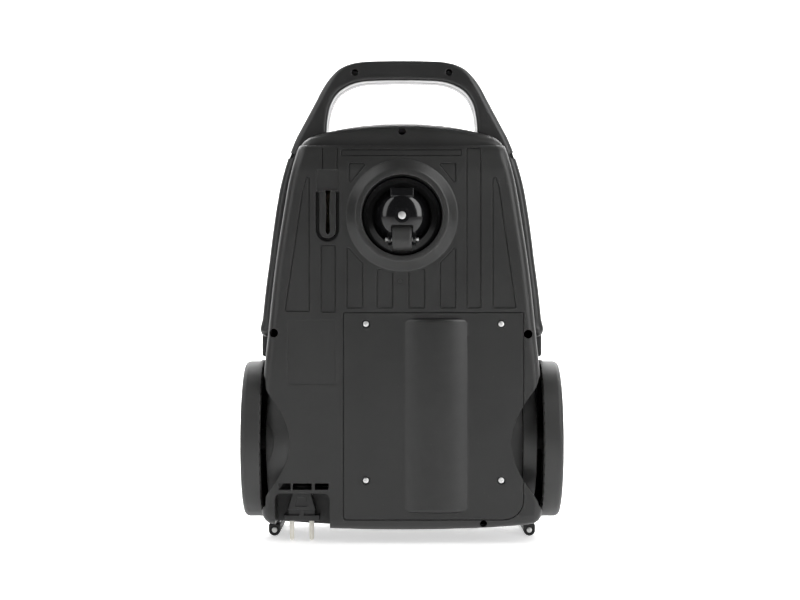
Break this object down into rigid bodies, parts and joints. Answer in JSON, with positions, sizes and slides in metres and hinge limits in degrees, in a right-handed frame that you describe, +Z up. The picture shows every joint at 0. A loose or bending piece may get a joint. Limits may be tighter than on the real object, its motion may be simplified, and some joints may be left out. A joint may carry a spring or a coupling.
{
  "type": "canister vacuum cleaner",
  "caption": "Bagged canister vacuum cleaner parked upright on its rear feet: ribbed underside with motor cover, caster, big rear wheels, plug dock, hinged lid and carry handle.",
  "frame": {"origin": "centre of the footprint, on the surface that the rear feet stand on, with the cleaner parked upright", "axes": "+X to the right seen from the underside, +Y through the thickness from the underside to the lid, +Z up along the length to the carry handle"},
  "size_m": [0.3094, 0.2542, 0.4672],
  "materials": {
    "casing_plastic": "fine-grained, moulded, nearly black",
    "cover_plastic": "fine-grained, a little smoother than the casing",
    "handle_plastic": "satin",
    "lid_gloss": "polished black",
    "caster_gloss": "polished black",
    "accent_grey": "satin grey",
    "indicator_window": "clear red",
    "wheel_plastic": "satin dark grey",
    "tyre_rubber": "matt",
    "soft_rubber": "matt black",
    "screw_steel": "zinc-plated",
    "motor_case_metal": "plain pressed sheet",
    "inner_plastic": "plain light grey",
    "cord_black": "soft black",
    "pin_ivory": "ivory sleeve",
    "bag_paper": "creped",
    "bag_card": "plain",
    "filter_foam": "open-cell foam"
  },
  "bodies": {
    "chassis": {"bottom_casing": "casing_plastic", "motor_cover": "cover_plastic", "top_casing": "casing_plastic", "handle_lower_shell": "handle_plastic", "handle_upper_shell": "handle_plastic", "lid_hinge_pin": "screw_steel", "wheel_axle_left": "screw_steel", "wheel_axle_right": "screw_steel", "rear_foot_left": "soft_rubber", "rear_foot_right": "soft_rubber", "foot_screw_left": "screw_steel", "foot_screw_right": "screw_steel", "cover_screw_1": "screw_steel", "cover_screw_2": "screw_steel", "cover_screw_3": "screw_steel", "cover_screw_4": "screw_steel", "cord_guide": "soft_rubber", "reel_axle": "screw_steel", "reel_stand": "inner_plastic", "fan_case": "motor_case_metal", "motor_body": "inner_plastic", "motor_mount_front": "soft_rubber", "motor_mount_rear": "soft_rubber", "chamber_bulkhead": "inner_plastic", "prefilter_frame": "inner_plastic", "prefilter_foam": "filter_foam", "dust_bag": "bag_paper", "bag_collar": "bag_card", "bag_holder": "inner_plastic", "exhaust_filter": "bag_paper"},
    "lid": {"lid": "lid_gloss", "lid_seal": "soft_rubber", "bag_indicator_window": "indicator_window", "hose_inlet_collar": "accent_grey", "hose_inlet_seal": "soft_rubber"},
    "latch": {"lid_latch_button": "accent_grey"},
    "wheel_left": {"tyre_left": "tyre_rubber", "wheel_disc_left": "wheel_plastic", "hub_cap_left": "caster_gloss"},
    "wheel_right": {"tyre_right": "tyre_rubber", "wheel_disc_right": "wheel_plastic", "hub_cap_right": "caster_gloss"},
    "caster": {"caster_dome": "caster_gloss", "caster_screw": "screw_steel", "caster_pin": "screw_steel"},
    "caster_wheel": {"caster_roller": "tyre_rubber"},
    "power_pedal": {"power_pedal": "accent_grey"},
    "rewind_pedal": {"rewind_pedal": "accent_grey"},
    "suction_dial": {"suction_dial": "accent_grey"},
    "exhaust_cover": {"exhaust_grille": "casing_plastic"},
    "reel": {"cord_reel": "inner_plastic", "cord_winding": "cord_black", "rewind_spring": "screw_steel"},
    "plug": {"plug_body": "cord_black", "plug_pin_left": "pin_ivory", "plug_pin_right": "pin_ivory", "cord_lead": "cord_black"},
    "brake": {"brake_lever": "inner_plastic", "brake_roller": "soft_rubber"},
    "fan": {"fan_rotor": "motor_case_metal"}
  },
  "joints": [
    {"name": "lid_hinge", "type": "hinge", "parent": "chassis", "child": "lid", "pos_m": [0, 0.115, 0.2125], "axis": [-1, 0, 0], "range_deg": [0, 75]},
    {"name": "lid_latch_press", "type": "slide", "parent": "chassis", "child": "latch", "axis": [0, -1, 0], "range_m": [0, 0.003], "stiffness_N_per_m": 500},
    {"name": "wheel_left_spin", "type": "hinge", "parent": "chassis", "child": "wheel_left", "pos_m": [-0.144, -0.051, 0.0963], "axis": [1, 0, 0], "continuous": true},
    {"name": "wheel_right_spin", "type": "hinge", "parent": "chassis", "child": "wheel_right", "pos_m": [0.144, -0.051, 0.0963], "axis": [1, 0, 0], "continuous": true},
    {"name": "caster_swivel", "type": "hinge", "parent": "chassis", "child": "caster", "pos_m": [0, -0.096, 0.3128], "axis": [0, -1, 0], "continuous": true},
    {"name": "caster_wheel_spin", "type": "hinge", "parent": "caster", "child": "caster_wheel", "pos_m": [0, -0.115, 0.2898], "axis": [1, 0, 0], "continuous": true},
    {"name": "power_press", "type": "slide", "parent": "chassis", "child": "power_pedal", "axis": [0, -1, 0], "range_m": [0, 0.004], "stiffness_N_per_m": 900},
    {"name": "rewind_press", "type": "slide", "parent": "chassis", "child": "rewind_pedal", "axis": [0, -1, 0], "range_m": [0, 0.004], "stiffness_N_per_m": 900},
    {"name": "brake_release", "type": "hinge", "parent": "chassis", "child": "brake", "pos_m": [-0.0565, 0.056, 0.142], "axis": [1, 0, 0], "range_deg": [0, 13]},
    {"name": "suction_dial_turn", "type": "hinge", "parent": "chassis", "child": "suction_dial", "pos_m": [0, 0.119, 0.186], "axis": [0, 1, 0], "range_deg": [-130, 130]},
    {"name": "exhaust_cover_hinge", "type": "hinge", "parent": "chassis", "child": "exhaust_cover", "pos_m": [0, 0.0955, 0.0344], "axis": [-1, 0, 0], "range_deg": [0, 70]},
    {"name": "reel_spin", "type": "hinge", "parent": "chassis", "child": "reel", "pos_m": [-0.081, -0.038, 0.122], "axis": [1, 0, 0], "range_deg": [0, 33]},
    {"name": "plug_pull", "type": "slide", "parent": "chassis", "child": "plug", "axis": [0, 0, -1], "range_m": [0, 0.03]},
    {"name": "fan_spin", "type": "hinge", "parent": "chassis", "child": "fan", "pos_m": [0.0325, -0.058, 0.13], "axis": [0, 0, 1], "continuous": true}
  ],
  "couplings": [
    {"joint": "brake_release", "follows": "rewind_press", "rad_per_m": 56},
    {"joint": "plug_pull", "follows": "reel_spin", "m_per_rad": 0.0514}
  ]
}
